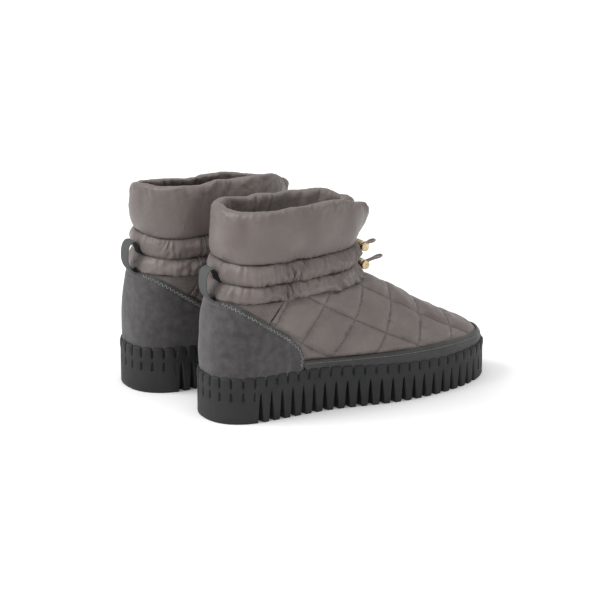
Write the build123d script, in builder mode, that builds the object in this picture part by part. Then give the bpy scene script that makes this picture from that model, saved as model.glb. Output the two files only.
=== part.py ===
from build123d import *
from math import cos, pi, radians, sin, tan
import os

# A pair of padded deck boots with ribbed rubber cup soles, in millimetres. Each piece is made once, for the right
# boot, in that boot's own frame: the back of the heel is at the origin, +Y points to the toes, +X to the wearer's
# right and +Z up. The left boot is its mirror image. The pair's origin is on the floor, under the pair's middle.

os.makedirs("parts", exist_ok=True)

# Driving dimensions.
PAIR_SPACING = 108.0        # between the two heel centres
LEFT_SET_BACK = 20.0        # the left boot stands this far behind the right one
SOLE_LENGTH = 283.0
HEEL_SOLE_TOP = 41.7        # top edge of the sole wall at the heel, and at the ball and toes
TOE_SOLE_TOP = 33.0
SOLE_SLOPE_START, SOLE_SLOPE_END = 60.0, 220.0
LASTING_PLANE = 24.0        # floor of the upper, on the step inside the cup sole
COUNTER_TOP = 107.0         # seam between the foot part and the lower cord channel
CHANNEL_SEAM = 122.0        # seam between the two cord channels
CUFF_SEAM = 140.0           # seam between the upper cord channel and the cuff
RIM = 186.5
GAP = 0.2                   # clearance between neighbouring layers
SUEDE, SHELL, WADDING, LINING = 1.4, 1.0, 2.4, 2.0
CUFF_WALL = 9.0
CORD = 2.0                  # drawcord diameter
STRAND_PITCH = 2.2          # between the two strands inside a cord lock
LOCK_TILT = 12.0            # degrees that the drawcord loops rise towards their tips

SHELL_IN = SUEDE + GAP
PADDING_IN = SHELL_IN + SHELL + GAP
LINING_IN = PADDING_IN + WADDING + GAP
FOOT_IN = LINING_IN + LINING + GAP
CHANNEL_IN = 0.4

# Outer skin of the upper, level by level: height, back, front, half width at the heel, half width at the ball
# on the outer and the inner side, and the share of the length that rounds off at the back and at the front.
LEVELS = [
    (LASTING_PLANE, 3.5, 277.6, 34.4, 47.4, 43.8, 0.15, 0.35),
    (42.0, 3.4, 276.2, 34.8, 47.6, 44.0, 0.15, 0.355),
    (50.0, 3.2, 261.0, 35.8, 47.0, 43.6, 0.15, 0.36),
    (59.0, 3.4, 243.6, 36.6, 45.4, 42.2, 0.16, 0.39),
    (70.0, 4.2, 222.4, 37.6, 43.2, 40.4, 0.18, 0.42),
    (82.0, 5.4, 202.6, 38.6, 41.2, 38.8, 0.20, 0.46),
    (95.0, 7.4, 182.0, 39.4, 39.8, 38.2, 0.24, 0.48),
    (COUNTER_TOP, 10.2, 159.4, 40.0, 38.8, 38.0, 0.28, 0.50),
    (114.5, 12.6, 153.0, 40.6, 39.0, 38.4, 0.28, 0.50),
    (CHANNEL_SEAM, 14.4, 151.2, 39.6, 38.0, 37.4, 0.28, 0.50),
    (131.0, 14.2, 152.2, 40.4, 38.6, 38.0, 0.28, 0.50),
    (CUFF_SEAM, 15.2, 150.6, 39.2, 37.4, 37.0, 0.28, 0.50),
    (160.0, 14.8, 156.0, 41.2, 39.0, 38.6, 0.28, 0.46),
    (RIM, 16.4, 164.6, 40.4, 38.6, 38.2, 0.28, 0.40),
]
SOLE_LEVEL = (0.0, 0.0, SOLE_LENGTH, 37.0, 50.8, 46.8, 0.15, 0.35)
TOE_SHIFT = -4.0            # the toe's tip lies towards the other boot


def outline(level, inset=0.0):
    """Points of a foot-shaped outline: a blunt round back, waisted sides and a longer round front."""
    z, back, front, heel, outer, inner, back_share, front_share = level
    slant = 1.7 if z > 45.0 and z < COUNTER_TOP else 1.0
    back, front = back + inset, front - inset * slant
    length = front - back

    def half_width(s, ball):
        t = min(max((s - 0.32) / 0.32, 0.0), 1.0)
        return heel - inset + (ball - heel) * t * t * (3 - 2 * t)

    stations = [(back_share * (1 - cos(a) ** 0.9), sin(a) ** 0.85) for a in (0.0, pi / 7, 2 * pi / 7, pi / 2)]
    straight = 1 - back_share - front_share
    stations += [(back_share + straight * k / 4, 1.0) for k in (1, 2, 3)]
    stations += [(1 - front_share * (1 - cos(a) ** 0.92), sin(a) ** 0.92) for a in (pi / 2, pi / 3, pi / 5.5, pi / 14)]
    right = [(half_width(s, outer) * w + TOE_SHIFT * s ** 4, back + s * length) for s, w in stations]
    left = [(-half_width(s, inner) * w + TOE_SHIFT * s ** 4, back + s * length) for s, w in stations[1:]]
    return right + [(TOE_SHIFT, front)] + left[::-1]


def between(z):
    """The outer skin's level at any height."""
    for low, high in zip(LEVELS, LEVELS[1:]):
        if z <= high[0]:
            t = (z - low[0]) / (high[0] - low[0])
            return tuple(a + (b - a) * t for a, b in zip(low, high))
    return LEVELS[-1]


def body(bottom, top, inset):
    """Solid inside the outer skin, inset by a distance, between two heights."""
    levels = [between(bottom)] + [row for row in LEVELS if bottom + 0.5 < row[0] < top - 0.5] + [between(top)]
    with BuildPart() as solid:
        for level in levels:
            with BuildSketch(Plane.XY.offset(level[0])):
                with BuildLine():
                    Spline(*outline(level, inset), periodic=True)
                make_face()
        loft(ruled=True)
    return solid.part


def layer(bottom, top, outside, inside):
    """Tube-like layer of the upper between two insets and two heights."""
    with BuildPart() as tube:
        add(body(bottom, top, outside))
        add(body(bottom - 1 if bottom > LASTING_PLANE else bottom, top + 1 if top < RIM else top, inside),
            mode=Mode.SUBTRACT)
    return tube.part


def side_block(*points):
    """Block over the whole width whose side view is the given outline of (Y, Z) points."""
    with BuildPart() as block:
        with BuildSketch(Plane.YZ):
            with BuildLine():
                Polyline(*points, close=True)
            make_face()
        extrude(amount=80, both=True)
    return block.part


def save_pair(name, piece):
    """Writes a piece of the right boot and its mirror image for the left boot."""
    middle = Pos(PAIR_SPACING / 2, -(SOLE_LENGTH + PULL_TAB_BACK - LEFT_SET_BACK) / 2, 0)
    placed = {"right": middle * piece,
              "left": middle * Pos(-PAIR_SPACING, -LEFT_SET_BACK, 0) * mirror(piece, about=Plane.YZ)}
    for side, solid in placed.items():
        with BuildPart() as boot_piece:
            add(solid)
        boot_piece.part.label = f"{side}_{name}"
        export_step(boot_piece.part, f"parts/{side}_{name}.step")


# Cup sole: a rubber tray with a sloping top edge, ribbed all round.
SOLE_FLOOR, FILLER_INSET = 6.0, 9.0
RIB_PITCH, RIB_TOP = 10.5, 26.0
SLOT_WIDTH, SLOT_DEPTH = 3.6, 2.6
SLIT_WIDTH, SLIT_HEIGHT, SLIT_DEPTH = 1.2, 9.0, 1.2
BUMPER_BACK, BUMPER_TOE = 39.0, 262.0


def sole_top(y):
    """Height of the sole wall's top edge: level at the heel, sloping down to the ball, level to the toe."""
    t = min(max((y - SOLE_SLOPE_START) / (SOLE_SLOPE_END - SOLE_SLOPE_START), 0.0), 1.0)
    return HEEL_SOLE_TOP + (TOE_SOLE_TOP - HEEL_SOLE_TOP) * t


with BuildLine() as sole_edge:
    Spline(*outline(SOLE_LEVEL), periodic=True)
rim = sole_edge.edges()[0]
rib_count = round(rim.length / RIB_PITCH)
slot_planes, slit_planes, notch_planes = [], [], []
for k in range(rib_count):
    place, along = rim @ (k / rib_count), rim % (k / rib_count)
    outward = Vector(along.Y, -along.X, 0)
    slit_planes.append(Plane((place.X, place.Y, sole_top(place.Y) - SLIT_HEIGHT), x_dir=along, z_dir=outward))
    if place.Y < BUMPER_BACK:
        notch_planes.append(Plane((place.X, place.Y, sole_top(place.Y) - 21), x_dir=along, z_dir=outward))
    elif place.Y < BUMPER_TOE:
        slot_planes.append(Plane((place.X, place.Y, 0), x_dir=along, z_dir=outward))
    else:
        notch_planes.append(Plane((place.X, place.Y, 11), x_dir=along, z_dir=outward))

with BuildPart() as ribs:
    with BuildSketch(*slot_planes):
        Polygon((-SLOT_WIDTH / 2, -1), (SLOT_WIDTH / 2, -1), (0.3, RIB_TOP), (-0.3, RIB_TOP), align=None)
    extrude(amount=SLOT_DEPTH, both=True)
    with BuildSketch(*slit_planes):
        Rectangle(SLIT_WIDTH, SLIT_HEIGHT + 2, align=(Align.CENTER, Align.MIN))
    extrude(amount=SLIT_DEPTH, both=True)
    with BuildSketch(*notch_planes):
        Polygon((-1.6, 0), (1.6, 0), (0.4, 9.5), (-0.4, 9.5), align=None)
    extrude(amount=SLIT_DEPTH, both=True)

with BuildPart() as outsole:
    with BuildSketch():
        with BuildLine():
            Spline(*outline(SOLE_LEVEL), periodic=True)
        make_face()
    extrude(amount=HEEL_SOLE_TOP)
    with BuildSketch(Plane.XY.offset(SOLE_FLOOR)):
        with BuildLine():
            Spline(*outline(SOLE_LEVEL, FILLER_INSET), periodic=True)
        make_face()
    extrude(amount=HEEL_SOLE_TOP, mode=Mode.SUBTRACT)
    add(body(LASTING_PLANE - GAP, HEEL_SOLE_TOP + 1, -0.3), mode=Mode.SUBTRACT)
    add(side_block((SOLE_SLOPE_START, HEEL_SOLE_TOP), (SOLE_SLOPE_END, TOE_SOLE_TOP), (300, TOE_SOLE_TOP),
                   (300, 60), (SOLE_SLOPE_START, 60)), mode=Mode.SUBTRACT)
    add(ribs.part, mode=Mode.SUBTRACT)

# Inside the sole: a foam filler with the shank let into its top.
SHANK_LENGTH, SHANK_WIDTH, SHANK_THICKNESS = 112.0, 15.0, 1.6
SHANK_MIDDLE = 104.0
FILLER_TOP = LASTING_PLANE - 2 * GAP
with BuildPart() as shank:
    with BuildSketch(Plane.XY.offset(FILLER_TOP - SHANK_THICKNESS)):
        with Locations((0, SHANK_MIDDLE)):
            SlotOverall(SHANK_LENGTH, SHANK_WIDTH, rotation=90)
    extrude(amount=SHANK_THICKNESS)
with BuildPart() as midsole_filler:
    with BuildSketch(Plane.XY.offset(SOLE_FLOOR + GAP)):
        with BuildLine():
            Spline(*outline(SOLE_LEVEL, FILLER_INSET + GAP), periodic=True)
        make_face()
    extrude(amount=FILLER_TOP - SOLE_FLOOR - GAP)
    with BuildSketch(Plane.XY.offset(FILLER_TOP - SHANK_THICKNESS - GAP)):
        with Locations((0, SHANK_MIDDLE)):
            SlotOverall(SHANK_LENGTH + 2 * GAP, SHANK_WIDTH + 2 * GAP, rotation=90)
    extrude(amount=SHANK_THICKNESS + 1, mode=Mode.SUBTRACT)

# Inside the upper: the lasting board and the loose footbed on it.
BOARD, FOOTBED = 2.0, 4.0
with BuildPart() as insole_board:
    add(body(LASTING_PLANE, LASTING_PLANE + BOARD, FOOT_IN))
with BuildPart() as footbed:
    add(body(LASTING_PLANE + BOARD + GAP, LASTING_PLANE + BOARD + GAP + FOOTBED, FOOT_IN + 0.3))
    fillet(footbed.edges().group_by(Axis.Z)[-1], 1.2)

# Layers of the foot part. The heel counter and the rand are one layer of suede, cut apart at the waist.
FOOT_TOP = COUNTER_TOP - GAP
RAND_START = 80.0
COUNTER_EDGE = [(15, 107), (45, 87), (65, 72.6), (76.5, 61.4), (79.8, 52.6), (79.8, 0)]
RAND_EDGE = [(RAND_START, 49.0), (113, 47.0), (149, 46.3), (182, 45.2), (225, 44.0), (258, 42.0), (290, 41.0)]
with BuildPart() as heel_counter:
    add(layer(LASTING_PLANE, FOOT_TOP, 0, SUEDE))
    add(side_block((-20, 0), (-20, 120), (15, 120), *COUNTER_EDGE), mode=Mode.INTERSECT)
with BuildPart() as rand:
    add(layer(LASTING_PLANE, 52, 0, SUEDE))
    add(side_block((RAND_START, 0), *RAND_EDGE, (290, 0)), mode=Mode.INTERSECT)

SHELL_START = 50.0
with BuildPart() as vamp_shell:
    add(layer(LASTING_PLANE, FOOT_TOP, SHELL_IN, SHELL_IN + SHELL))
    add(side_block((SHELL_START, 0), (SHELL_START, 120), (300, 120), (300, 0)), mode=Mode.INTERSECT)
with BuildPart() as ankle_panel:
    add(layer(60, FOOT_TOP, SHELL_IN, SHELL_IN + SHELL))
    add(side_block((-20, 50), (-20, 120), (SHELL_START - GAP, 120), (SHELL_START - GAP, 50)),
        mode=Mode.INTERSECT)

STIFFENER_END, STIFFENER_TOP, PUFF_START = 62.0, 92.0, 232.0
with BuildPart() as heel_stiffener:
    add(layer(LASTING_PLANE, STIFFENER_TOP, PADDING_IN, PADDING_IN + WADDING))
    add(side_block((-20, 0), (-20, 120), (20, 120), (STIFFENER_END, 60), (STIFFENER_END, 0)),
        mode=Mode.INTERSECT)
with BuildPart() as vamp_wadding:
    add(layer(LASTING_PLANE, FOOT_TOP, PADDING_IN, PADDING_IN + WADDING))
    add(side_block((STIFFENER_END + GAP, 0), (STIFFENER_END + GAP, 120), (PUFF_START - GAP, 120),
                   (PUFF_START - GAP, 0)), mode=Mode.INTERSECT)
with BuildPart() as toe_puff:
    add(layer(LASTING_PLANE, 62, PADDING_IN, PADDING_IN + WADDING))
    add(side_block((PUFF_START, 0), (PUFF_START, 120), (300, 120), (300, 0)), mode=Mode.INTERSECT)

# Cuff: a padded wall, open down the front in a V.
NOTCH_TOP, NOTCH_BOTTOM = 26.0, 7.0
with BuildPart() as cuff:
    add(body(CUFF_SEAM + GAP, RIM, 0))
    add(body(CUFF_SEAM + GAP, RIM, CUFF_WALL), mode=Mode.SUBTRACT)
    with BuildSketch(Plane.XZ.offset(-100)):
        Polygon((-NOTCH_BOTTOM / 2, CUFF_SEAM - 5), (NOTCH_BOTTOM / 2, CUFF_SEAM - 5),
                (NOTCH_TOP / 2, RIM + 5), (-NOTCH_TOP / 2, RIM + 5), align=None)
    extrude(amount=-100, mode=Mode.SUBTRACT)

# Drawcords. Each runs round the leg inside its channel, comes out through the front wall on both sides of the
# middle, and both strands pass through a cord lock before they meet in a loop.
PULL_TAB_BACK = -0.2
# Channel: bottom, top, cord height, where the strands turn forwards, where their straight stretch and the loop end.
CHANNELS = {"upper": (CHANNEL_SEAM + GAP, CUFF_SEAM - GAP, 131.0, 150.2, 15.6, 22.0),
            "lower": (COUNTER_TOP + GAP, CHANNEL_SEAM - GAP, 114.5, 150.6, 20.6, 29.0)}
# Opening in a channel's front wall where the strands come out, and its play beside them.
WINDOW_HALF, WINDOW_HEIGHT, WINDOW_PLAY = 6.5, 6.0, 0.6
LOCK_SET = 7.8              # from the strands' turn to a lock's middle


# Stations of the outline that a drawcord passes, with its corner points' insets there on the outer and inner side.
RING_STATIONS = [(9, 1.5, 0.3), (8, 1.5, 1.2), (7, 2.4, 2.4), (5, 2.9, 2.9), (3, 2.4, 2.4), (2, 1.6, 1.6),
                 (1, 1.8, 1.8)]
HEEL_INSET = 2.4


def ring_route(height, turn):
    """Route of a drawcord inside its channel, from the window round the back and to the window again."""
    level = between(height)
    outer = [outline(level, inset)[k] for k, inset, _ in RING_STATIONS]
    inner = [outline(level, inset)[-k] for k, _, inset in RING_STATIONS]
    ring = [(WINDOW_HALF, turn - 1.3), *outer, outline(level, HEEL_INSET)[0], *inner[::-1],
            (-WINDOW_HALF, turn - 1.3)]
    return [(x, y, height) for x, y in ring]


def loop_route(height, turn, straight, tip):
    """Route of the free loop: out of the window, side by side through the lock, then round the loop's tip."""
    rise, forward = sin(radians(LOCK_TILT)), cos(radians(LOCK_TILT))
    near = STRAND_PITCH / 2
    ahead = [(near, straight), (3.0, (straight + tip) / 2), (1.6, tip)]
    half = [(WINDOW_HALF, turn - 1.3, height), (near, turn, height)]
    half += [(x, turn + s * forward, height + s * rise) for x, s in ahead]
    return half + [(-x, y, z) for x, y, z in half[::-1]]


def corner_radii(route):
    """Radius at each corner: 0.45 of the shorter run, divided by the tangent of half the turn."""
    points = [Vector(*p) for p in route]
    radii = []
    for a, b, c in zip(points, points[1:], points[2:]):
        turn = (b - a).get_angle(c - b)
        radii.append(0.45 * min((b - a).length, (c - b).length) / tan(radians(turn) / 2))
    return radii


def tube(name, route, diameter):
    """Round cord along straight runs joined by tangent arcs."""
    radii = corner_radii(route)
    with BuildPart() as cord:
        with BuildLine() as path:
            FilletPolyline(*route, radius=radii)
        with BuildSketch(Plane(path.line @ 0, z_dir=path.line % 0)):
            Circle(diameter / 2)
        sweep()
    length = path.wires()[0].length
    print(name, "length", round(length, 1), "radii", [round(r, 1) for r in radii],
          "volume share", round(cord.part.volume / (pi * diameter ** 2 / 4 * length), 4))
    return cord.part


# Cord locks: a metal barrel across the cord, and a spring plunger that clamps both strands in its cross hole.
LOCK_RADIUS, LOCK_INNER_END, LOCK_MOUTH, LOCK_WALL = 4.3, -7.6, 4.4, 0.8
BORE_RADIUS, STEM_RADIUS, HEAD_RADIUS, HEAD = 2.95, 2.85, 3.9, 1.6
PLUNGER_TRAVEL = 2.0
STEM_INNER_END, HEAD_START = -3.4, LOCK_MOUTH + PLUNGER_TRAVEL + 0.2
HOLE_HALF_WIDTH, HOLE_HALF_HEIGHT = STRAND_PITCH / 2 + CORD / 2 + 0.15, CORD / 2 + 0.15
SPRING_WIRE, SPRING_RADIUS = 0.4, 2.3


def lock_plane(height, turn):
    """Plane at a lock's middle: its x runs along the cord towards the loop's tip and its z across the boot."""
    rise, forward = sin(radians(LOCK_TILT)), cos(radians(LOCK_TILT))
    middle = (0, turn + LOCK_SET * forward, height + LOCK_SET * rise)
    return Plane(middle, x_dir=(0, forward, rise), z_dir=(1, 0, 0))


def lock_body(plane):
    """Barrel with a blind bore and a cross hole for the two strands."""
    with BuildPart() as barrel:
        with BuildSketch(plane.offset(LOCK_INNER_END)):
            Circle(LOCK_RADIUS)
        extrude(amount=LOCK_MOUTH - LOCK_INNER_END)
        chamfer(barrel.edges().filter_by(GeomType.CIRCLE), 0.5)
        with BuildSketch(plane.offset(LOCK_INNER_END + LOCK_WALL)):
            Circle(BORE_RADIUS)
        extrude(amount=LOCK_MOUTH - LOCK_INNER_END, mode=Mode.SUBTRACT)
        with BuildSketch(Plane(plane.origin, x_dir=plane.z_dir, z_dir=plane.x_dir)):
            Rectangle(2 * HOLE_HALF_WIDTH, 2 * HOLE_HALF_HEIGHT)
        extrude(amount=2 * LOCK_RADIUS, both=True, mode=Mode.SUBTRACT)
    return barrel.part


def lock_plunger(plane):
    """Stem with a round head. Its cross hole is longer than the barrel's by the plunger's travel."""
    with BuildPart() as plunger:
        with BuildSketch(plane.offset(STEM_INNER_END)):
            Circle(STEM_RADIUS)
        extrude(amount=HEAD_START - STEM_INNER_END)
        with BuildSketch(plane.offset(HEAD_START)):
            Circle(HEAD_RADIUS)
        extrude(amount=HEAD)
        fillet(plunger.edges().filter_by(GeomType.CIRCLE).sort_by(Axis.X)[-1], 0.7)
        with BuildSketch(Plane(plane.origin + plane.z_dir * (PLUNGER_TRAVEL / 2), x_dir=plane.z_dir,
                               z_dir=plane.x_dir)):
            Rectangle(2 * HOLE_HALF_WIDTH + PLUNGER_TRAVEL, 2 * HOLE_HALF_HEIGHT)
        extrude(amount=2 * LOCK_RADIUS, both=True, mode=Mode.SUBTRACT)
    return plunger.part


def lock_spring(plane):
    """Short coil spring between the bore's end and the stem."""
    start = LOCK_INNER_END + LOCK_WALL + SPRING_WIRE / 2 + 0.1
    height = STEM_INNER_END - start - SPRING_WIRE / 2 - 0.1
    seat = plane.offset(start)
    with BuildPart() as spring:
        with BuildLine() as coil:
            Helix(pitch=height / 3, height=height, radius=SPRING_RADIUS, center=seat.origin, direction=seat.z_dir)
        with BuildSketch(Plane(coil.line @ 0, z_dir=coil.line % 0)):
            Circle(SPRING_WIRE / 2)
        sweep(is_frenet=True)
    return spring.part


# Pull tab: a strap folded into a loop behind the heel.
TAB_WIDTH, TAB_THICKNESS = 14.0, 1.5
TAB_ROUTE = [(8.4, 104.0), (4.0, 108.0), (0.6, 116.0), (1.0, 131.0), (7.8, 134.0), (13.4, 126.8)]
with BuildPart() as pull_tab:
    with BuildSketch(Plane.YZ):
        with BuildLine():
            FilletPolyline(*TAB_ROUTE, radius=3.4)
        trace(line_width=TAB_THICKNESS)
    extrude(amount=TAB_WIDTH / 2, both=True)

# Lining, with shallow grooves where the drawcords press into it.
tunnels = {place: tube(f"{place} tunnel", ring_route(height, turn), CORD + 0.5)
           for place, (_, _, height, turn, _, _) in CHANNELS.items()}
with BuildPart() as lining:
    add(layer(LASTING_PLANE, CUFF_SEAM - GAP, LINING_IN, LINING_IN + LINING))
    for tunnel in tunnels.values():
        add(tunnel, mode=Mode.SUBTRACT)

pieces = {
    "outsole": outsole, "midsole_filler": midsole_filler, "shank": shank, "insole_board": insole_board,
    "footbed": footbed, "heel_counter": heel_counter, "rand": rand, "vamp_shell": vamp_shell,
    "ankle_panel": ankle_panel, "heel_stiffener": heel_stiffener, "vamp_wadding": vamp_wadding,
    "toe_puff": toe_puff, "lining": lining, "cuff": cuff, "pull_tab": pull_tab,
}
for name, piece in pieces.items():
    save_pair(name, piece.part)

for place, (bottom, top, height, turn, straight, tip) in CHANNELS.items():
    with BuildPart() as channel:
        add(layer(bottom, top, CHANNEL_IN, LINING_IN - GAP))
        add(tunnels[place], mode=Mode.SUBTRACT)
        with BuildSketch(Plane.XZ.offset(-turn + 14)):
            with Locations((0, height)):
                Rectangle(2 * (WINDOW_HALF + WINDOW_PLAY), WINDOW_HEIGHT)
        extrude(amount=-40, mode=Mode.SUBTRACT)
    save_pair(f"{place}_channel", channel.part)
    save_pair(f"{place}_drawcord", tube(f"{place} drawcord", ring_route(height, turn), CORD))
    save_pair(f"{place}_cord_loop", tube(f"{place} loop", loop_route(height, turn, straight, tip), CORD))
    lock = lock_plane(height, turn)
    save_pair(f"{place}_lock_body", lock_body(lock))
    save_pair(f"{place}_lock_plunger", lock_plunger(lock))
    save_pair(f"{place}_lock_spring", lock_spring(lock))
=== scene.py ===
import math
import bpy
import numpy as np
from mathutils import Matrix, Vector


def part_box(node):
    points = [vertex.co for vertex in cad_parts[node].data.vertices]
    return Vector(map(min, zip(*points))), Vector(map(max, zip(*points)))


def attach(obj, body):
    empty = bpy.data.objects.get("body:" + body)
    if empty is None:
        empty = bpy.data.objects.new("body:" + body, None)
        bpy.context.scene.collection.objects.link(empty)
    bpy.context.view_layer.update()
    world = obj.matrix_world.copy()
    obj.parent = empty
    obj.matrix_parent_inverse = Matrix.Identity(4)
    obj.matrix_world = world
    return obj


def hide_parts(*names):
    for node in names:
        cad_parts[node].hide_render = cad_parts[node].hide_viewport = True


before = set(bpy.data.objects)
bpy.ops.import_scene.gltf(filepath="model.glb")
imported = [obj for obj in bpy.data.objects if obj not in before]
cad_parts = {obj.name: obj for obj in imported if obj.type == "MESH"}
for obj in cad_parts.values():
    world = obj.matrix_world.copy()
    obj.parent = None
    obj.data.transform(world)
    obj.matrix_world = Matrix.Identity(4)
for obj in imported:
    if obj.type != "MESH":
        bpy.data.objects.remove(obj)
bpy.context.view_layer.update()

# Looks of a pair of padded deck boots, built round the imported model's frame. Lengths in the shape functions
# are in millimetres, in the right boot's own frame: the back of its heel is at the origin, +Y points to the
# toes, +X to the wearer's right and +Z up. The left boot is the mirror image.

bl_info = {
    "name": "Padded deck boots",
    "version": (1, 0, 0),
    "blender": (4, 5, 0),
    "location": "View3D > Sidebar > Boots",
    "description": "Builds the fabric, suede, rubber and cords of a pair of padded boots",
    "category": "Object",
}

MM, TINY = 0.001, 1e-12
SIDES = {"right": 1.0, "left": -1.0}

# Where each boot's own frame stands: the middle of its pull tab across, the back of its sole lengthwise.
PLACES = {}
for side in SIDES:
    tab_low, tab_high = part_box(f"{side}_pull_tab")
    PLACES[side] = ((tab_low[0] + tab_high[0]) / 2 / MM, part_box(f"{side}_outsole")[0][1] / MM)


def placed(points, side):
    """Points of the right boot's own frame in the scene, in metres, mirrored for the left boot."""
    return (points * (SIDES[side], 1, 1) + (*PLACES[side], 0)) * MM


def new_object(name, data):
    """A new object in the scene."""
    made = bpy.data.objects.new(name, data)
    bpy.context.scene.collection.objects.link(made)
    return made


def height_of(node, end):
    """Lowest (end 0) or highest (end 1) point of a right boot's node, in millimetres."""
    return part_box(f"right_{node}")[end][2] / MM


COUNTER_TOP = height_of("vamp_shell", 1)
SHELL_TOP = COUNTER_TOP + 0.6
CHANNEL_SEAM = height_of("lower_channel", 1)
CUFF_SEAM = height_of("upper_channel", 1)
RIM = height_of("cuff", 1)
SOLE_LENGTH = (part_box("right_outsole")[1][1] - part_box("right_outsole")[0][1]) / MM
HEEL_SOLE_TOP, TOE_SOLE_TOP = height_of("outsole", 1), 33.0
GIRTH = 380.0      # millimetres that stand for once round the leg in the relief formulas
WINDOWS = {"lower": 114.5, "upper": 131.0}      # heights at which the drawcords come out

# Skin of the upper, level by level: height, back, front, half width at the heel, half width at the ball on
# the outer and the inner side, and the share of the length that rounds off at the back and at the front.
LEVELS = np.array([
    (24.0, 3.5, 277.6, 34.4, 47.4, 43.8, 0.15, 0.35),
    (42.0, 3.4, 276.2, 34.8, 47.6, 44.0, 0.15, 0.355),
    (50.0, 3.2, 261.0, 35.8, 47.0, 43.6, 0.15, 0.36),
    (59.0, 3.4, 243.6, 36.6, 45.4, 42.2, 0.16, 0.39),
    (70.0, 4.2, 222.4, 37.6, 43.2, 40.4, 0.18, 0.42),
    (82.0, 5.4, 202.6, 38.6, 41.2, 38.8, 0.20, 0.46),
    (95.0, 7.4, 182.0, 39.4, 39.8, 38.2, 0.24, 0.48),
    (107.0, 10.2, 159.4, 40.0, 38.8, 38.0, 0.28, 0.50),
    (114.5, 12.6, 153.0, 40.6, 39.0, 38.4, 0.28, 0.50),
    (122.0, 14.4, 151.2, 39.6, 38.0, 37.4, 0.28, 0.50),
    (131.0, 14.2, 152.2, 40.4, 38.6, 38.0, 0.28, 0.50),
    (140.0, 15.2, 150.6, 39.2, 37.4, 37.0, 0.28, 0.50),
    (160.0, 14.8, 156.0, 41.2, 39.0, 38.6, 0.28, 0.46),
    (186.5, 16.4, 164.6, 40.4, 38.6, 38.2, 0.28, 0.40),
])
SOLE_LEVEL = np.array([(z, 0.0, SOLE_LENGTH, 37.0, 50.8, 46.8, 0.15, 0.35) for z in (0.0, 50.0)])
TOE_SHIFT = -4.0
BACK_SPAN, FRONT_SPAN = 0.26, 0.44      # shares of half the way round given to the round back and front


def smooth_step(t):
    """Cubic step from 0 to 1, level at both ends."""
    t = np.clip(t, 0, 1)
    return t * t * (3 - 2 * t)


def level_at(z, levels):
    """Each column of the level table at heights z, by cubic Hermite curves through its rows."""
    heights = levels[:, 0]
    slopes = np.gradient(levels, heights, axis=0)
    z = np.clip(np.asarray(z, float), heights[0], heights[-1])
    k = np.clip(np.searchsorted(heights, z) - 1, 0, len(heights) - 2)
    step = heights[k + 1] - heights[k]
    t = (z - heights[k]) / step
    shares = [(1 + 2 * t) * (1 - t) ** 2, t * (1 - t) ** 2 * step, smooth_step(t), t * t * (t - 1) * step]
    values = [levels[k], slopes[k], levels[k + 1], slopes[k + 1]]
    return sum(share[..., None] * value for share, value in zip(shares, values))


def skin(u, z, inset=0.0, levels=LEVELS):
    """Point (x, y) of the boot's outline at height z. u goes once round: 0 at the back, 0.25 or so on the
    outer side, 0.5 at the toe. Half the outline is a quarter superellipse, a waisted straight and a longer
    quarter superellipse, each a power of the sine and cosine of an angle."""
    u, z = np.broadcast_arrays(np.mod(u, 1.0), z)
    row = level_at(z, levels)
    back, front = row[..., 1] + inset, row[..., 2] - inset * np.where((z > 45) & (z < 107), 1.7, 1.0)
    heel, outer, inner, back_share, front_share = (row[..., k] for k in range(3, 8))
    half = 2 * np.minimum(u, 1 - u)
    a = np.clip(half / BACK_SPAN, 0, 1) * np.pi / 2
    b = np.clip((1 - half) / FRONT_SPAN, 0, 1) * np.pi / 2
    c = np.clip((half - BACK_SPAN) / (1 - BACK_SPAN - FRONT_SPAN), 0, 1)
    s = back_share * (1 - np.cos(a) ** 0.9) + (1 - back_share - front_share) * c
    s = np.where(half > 1 - FRONT_SPAN, 1 - front_share * (1 - np.abs(np.cos(b)) ** 0.92), s)
    narrow = np.abs(np.sin(a)) ** 0.85 * np.abs(np.sin(b)) ** 0.92
    ball = np.where(u < 0.5, outer, inner)
    width = heel - inset + (ball - heel) * smooth_step((s - 0.32) / 0.32)
    x = np.where(u < 0.5, 1, -1) * width * narrow + TOE_SHIFT * s ** 4
    return x, back + s * (front - back)


def skin_out(u, z, out, levels=LEVELS):
    """Points (x, y, z) of the outline moved outwards by out, across the outline."""
    du = 4e-4
    (xa, ya), (xb, yb), (x, y) = (skin(u + step, z, 0, levels) for step in (-du, du, 0))
    size = np.hypot(xb - xa, yb - ya) + TINY
    return np.stack([x + out * (yb - ya) / size, y - out * (xb - xa) / size, z + 0 * x], axis=-1)


def u_where(y, z, outer=True):
    """Place round the outline, on its outer or inner side, where it has length position y at height z."""
    u = np.linspace(0, 0.5, 400)
    found = [np.interp(yy, skin(u, zz)[1], u) for yy, zz in zip(*np.broadcast_arrays(y, z))]
    return np.array(found) if outer else 1 - np.array(found)


def around(count):
    """Even places once round the outline, as a row."""
    return np.linspace(0, 1, count, endpoint=False)[None, :]


def between_sides(y, z, f, round_back=False):
    """Places round the outline at heights z, at shares f of the way between its two points at length position
    y: from the outer one round the toe, or from the inner one round the back."""
    outer, inner = u_where(y, z), u_where(y, z, outer=False)
    start, end = (inner, outer + 1) if round_back else (outer, inner)
    return start[:, None] + f * (end - start)[:, None]


def round_toe(y, z, count):
    """Even places round the toe, between the outer and the inner point at length position y and height z."""
    return np.linspace(*(u_where([y], [z], outer)[0] for outer in (True, False)), count)


def u_across(x, z):
    """Place round the front of the outline where it has position x across at height z."""
    u = np.linspace(0.36, 0.64, 500)
    return np.array([np.interp(-x, -skin(u, zz)[0], u) for x, zz in zip(*np.broadcast_arrays(x, z))])


def fade(distance, width, power=1.0):
    """Exponential fall from 1 towards 0 over about the width."""
    return np.exp(-(distance / width) ** power)


def unit(v):
    """Vectors scaled to length 1."""
    return v / (np.linalg.norm(v, axis=-1, keepdims=True) + TINY)


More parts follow.
